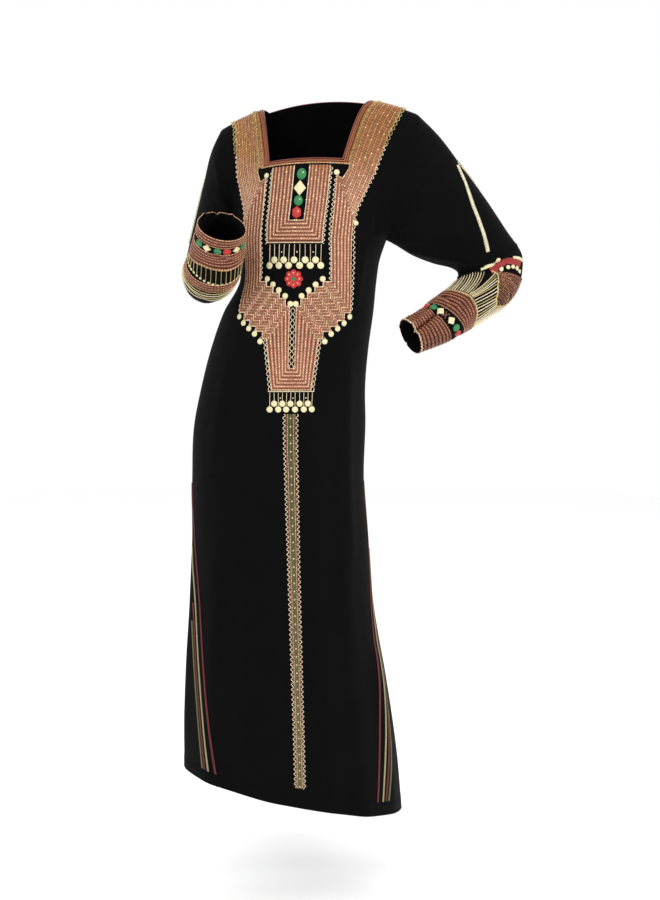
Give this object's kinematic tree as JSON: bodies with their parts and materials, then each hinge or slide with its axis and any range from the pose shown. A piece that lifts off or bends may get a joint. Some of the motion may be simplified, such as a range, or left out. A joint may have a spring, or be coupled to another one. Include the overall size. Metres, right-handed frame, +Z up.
{
  "type": "jalabiya",
  "caption": "Long black dress with a square neck, full upper sleeves, embroidered forearms and a couched yoke, standing open and hollow as worn.",
  "frame": {"origin": "between the shoulders at the base of the neck, on the body's middle line", "axes": "+Z up, the front faces -Y, +X towards the wearer's left"},
  "size_m": [0.6778, 0.3575, 1.4259],
  "materials": {
    "black_crepe": "matt pebbly crepe",
    "copper_couching": "couched cords with a low sheen",
    "maroon_couching": "couched cords with a low sheen",
    "rose_binding": "three couched lines",
    "cream_stitch": "satin stitch, padded",
    "green_stitch": "satin stitch, padded",
    "red_stitch": "satin stitch, padded",
    "olive_braid": "couched braid",
    "gold_braid": "metallic thread braid"
  },
  "bodies": {
    "root": {"back": "black_crepe", "bib": "copper_couching", "centre_strip": "olive_braid", "forearm_left": "maroon_couching", "forearm_right": "maroon_couching", "fringe_lower": "cream_stitch", "fringe_upper": "cream_stitch", "front": "black_crepe", "gore_left": "black_crepe", "gore_right": "black_crepe", "neck_binding": "rose_binding", "neck_binding_back": "rose_binding", "piping_back_left": "gold_braid", "piping_back_right": "gold_braid", "piping_front_left": "gold_braid", "piping_front_right": "gold_braid", "rosette": "red_stitch", "sleeve_left": "black_crepe", "sleeve_right": "black_crepe", "stone_1": "green_stitch", "stone_2": "cream_stitch", "stone_3": "green_stitch", "stone_4": "red_stitch", "tape_cream_back_left": "cream_stitch", "tape_cream_back_right": "cream_stitch", "tape_cream_front_left": "cream_stitch", "tape_cream_front_right": "cream_stitch", "tape_olive_back_left": "olive_braid", "tape_olive_back_right": "olive_braid", "tape_olive_front_left": "olive_braid", "tape_olive_front_right": "olive_braid", "tape_red_back_left": "red_stitch", "tape_red_back_right": "red_stitch", "tape_red_front_left": "red_stitch", "tape_red_front_right": "red_stitch", "v_inner_left": "cream_stitch", "v_inner_right": "cream_stitch", "v_outer_left": "cream_stitch", "v_outer_right": "cream_stitch", "yoke": "copper_couching"}
  },
  "joints": []
}
